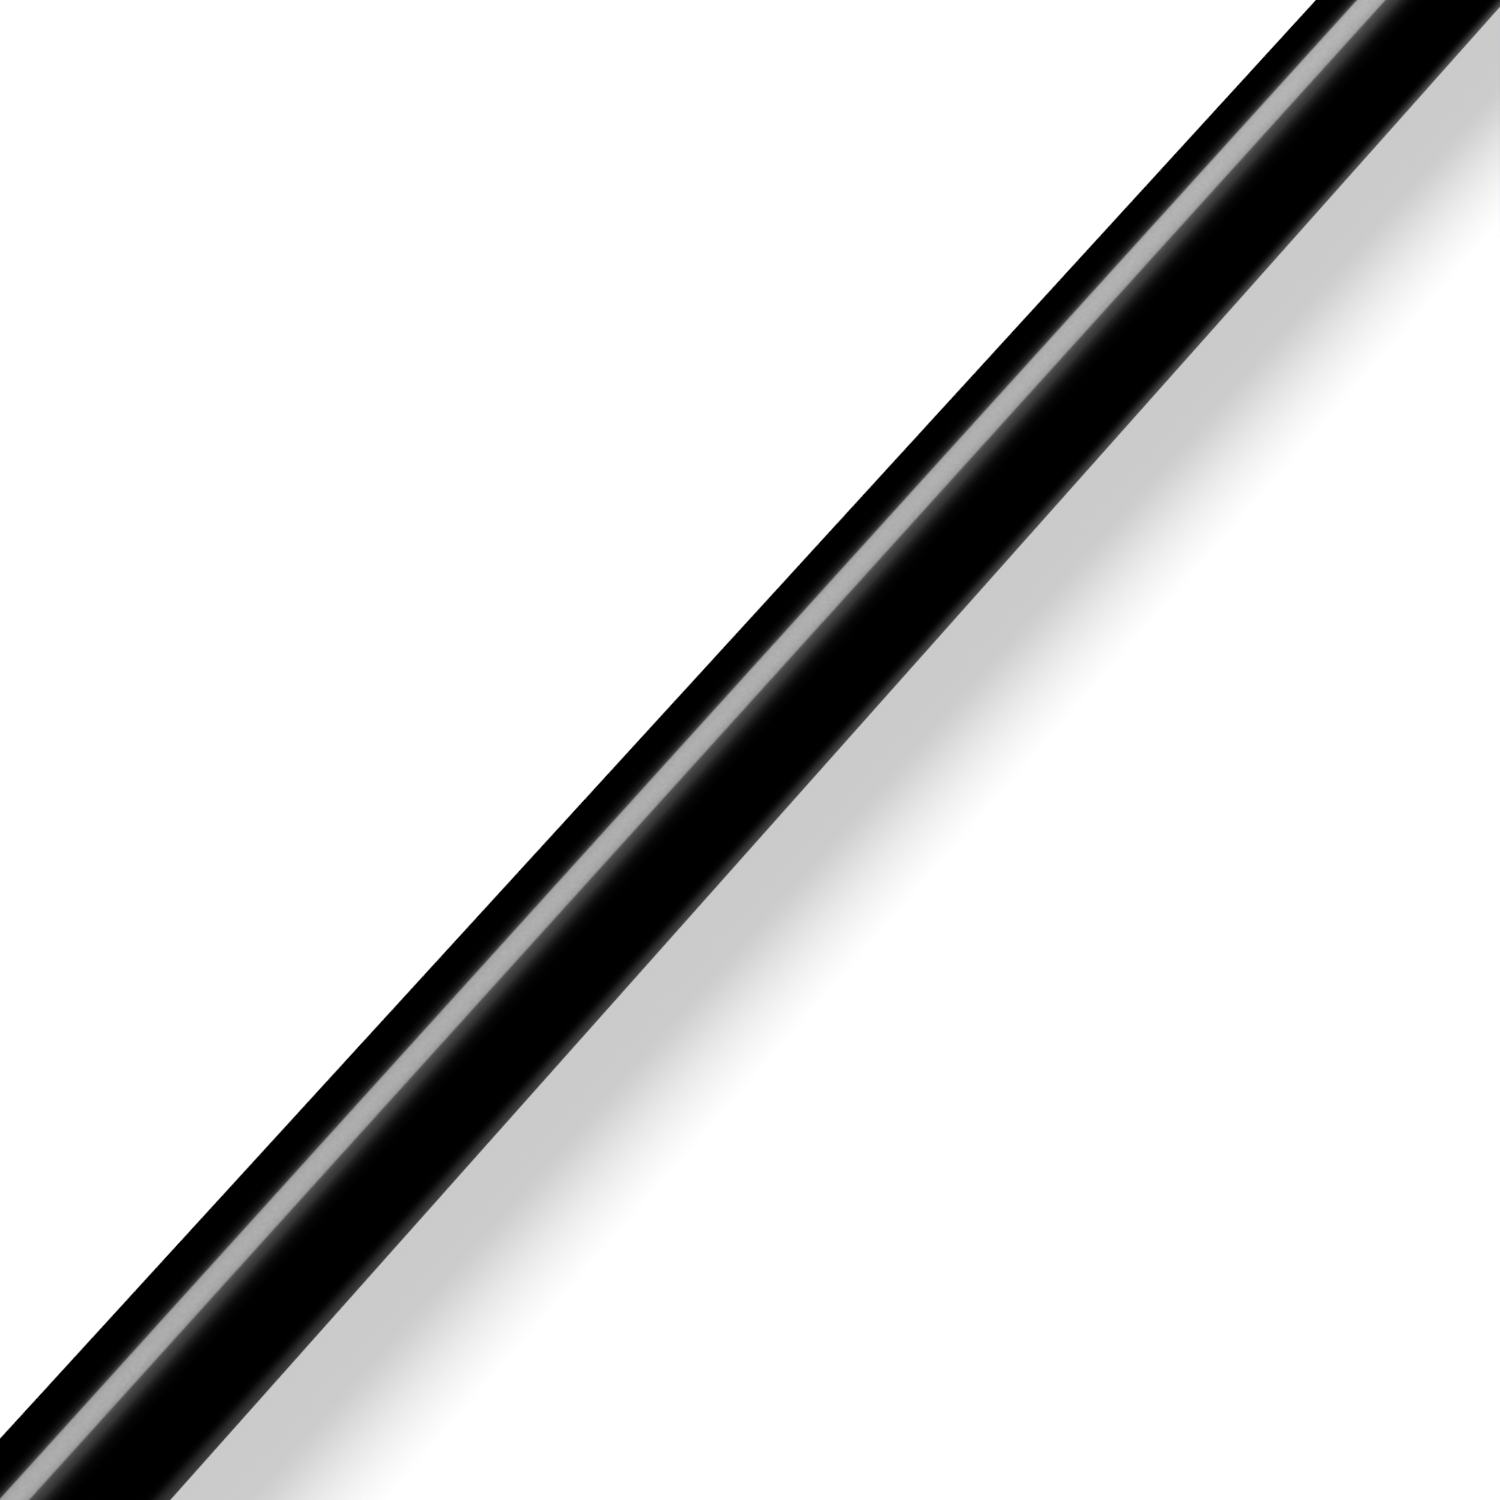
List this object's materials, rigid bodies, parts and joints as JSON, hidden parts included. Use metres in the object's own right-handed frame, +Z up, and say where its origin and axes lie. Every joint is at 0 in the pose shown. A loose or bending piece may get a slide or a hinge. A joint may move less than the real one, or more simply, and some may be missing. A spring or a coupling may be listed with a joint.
{
  "type": "long cane",
  "caption": "Telescoping long cane for a blind person: gloss black tapered tubes, a black rubber grip with a flat side, and a white roller tip on ball bearings.",
  "frame": {"origin": "on the floor, under the middle of the extended cane's length, midway between its sides", "axes": "+X along the cane from the grip to the tip, +Z up from the floor that it lies on"},
  "size_m": [1.2672, 0.0284, 0.0272],
  "materials": {
    "cap_plastic": "moulded black plastic, lightly textured",
    "bumper_rubber": "soft rubber disc",
    "grip_rubber": "moulded black rubber with a raised pattern",
    "black_lacquer": "gloss black lacquer over a carbon-fibre tube",
    "black_anodised": "turned and black anodised",
    "sleeve_plastic": "moulded black nylon",
    "pin_steel": "turned stainless steel",
    "bearing_steel": "ground and polished bearing steel",
    "cage_brass": "turned brass",
    "white_nylon": "turned white nylon, scuffed where it rolls",
    "seal_rubber": "black rubber"
  },
  "bodies": {
    "handle": {"end_cap": "cap_plastic", "bumper": "bumper_rubber", "grip": "grip_rubber", "tube_1": "black_lacquer", "mouth_ring_1": "black_anodised"},
    "second_tube": {"tube_2": "black_lacquer", "mouth_ring_2": "black_anodised"},
    "third_tube": {"tube_3": "black_lacquer", "mouth_ring_3": "black_anodised"},
    "fourth_tube": {"tube_4": "black_lacquer", "mouth_ring_4": "black_anodised"},
    "tip_tube": {"tube_5": "black_lacquer", "tip_sleeve": "sleeve_plastic", "spindle": "pin_steel", "bearing_spacer": "pin_steel", "thrust_washer": "pin_steel", "retaining_clip": "pin_steel", "upper_bearing_inner_race": "bearing_steel", "lower_bearing_inner_race": "bearing_steel"},
    "upper_ball_set": {"upper_bearing_balls": "bearing_steel", "upper_bearing_cage": "cage_brass"},
    "lower_ball_set": {"lower_bearing_balls": "bearing_steel", "lower_bearing_cage": "cage_brass"},
    "roller": {"roller": "white_nylon", "roller_plug": "white_nylon", "roller_seal": "seal_rubber", "upper_bearing_outer_race": "bearing_steel", "upper_bearing_shields": "bearing_steel", "lower_bearing_outer_race": "bearing_steel", "lower_bearing_shields": "bearing_steel"}
  },
  "joints": [
    {"name": "second_tube_slide", "type": "slide", "parent": "handle", "child": "second_tube", "axis": [-1, 0, 0], "range_m": [0, 0.2057]},
    {"name": "third_tube_slide", "type": "slide", "parent": "second_tube", "child": "third_tube", "axis": [-1, 0, 0], "range_m": [0, 0.2167]},
    {"name": "fourth_tube_slide", "type": "slide", "parent": "third_tube", "child": "fourth_tube", "axis": [-1, 0, 0], "range_m": [0, 0.2277]},
    {"name": "tip_tube_slide", "type": "slide", "parent": "fourth_tube", "child": "tip_tube", "axis": [-1, 0, 0], "range_m": [0, 0.2387]},
    {"name": "roller_spin", "type": "hinge", "parent": "tip_tube", "child": "roller", "pos_m": [0.6166, 0, 0.013], "axis": [1, 0, 0], "continuous": true},
    {"name": "upper_ball_orbit", "type": "hinge", "parent": "tip_tube", "child": "upper_ball_set", "pos_m": [0.6039, 0, 0.013], "axis": [1, 0, 0], "continuous": true},
    {"name": "lower_ball_orbit", "type": "hinge", "parent": "tip_tube", "child": "lower_ball_set", "pos_m": [0.6199, 0, 0.013], "axis": [1, 0, 0], "continuous": true}
  ],
  "couplings": [
    {"joint": "upper_ball_orbit", "follows": "roller_spin", "ratio": 0.62526},
    {"joint": "lower_ball_orbit", "follows": "roller_spin", "ratio": 0.62526}
  ]
}
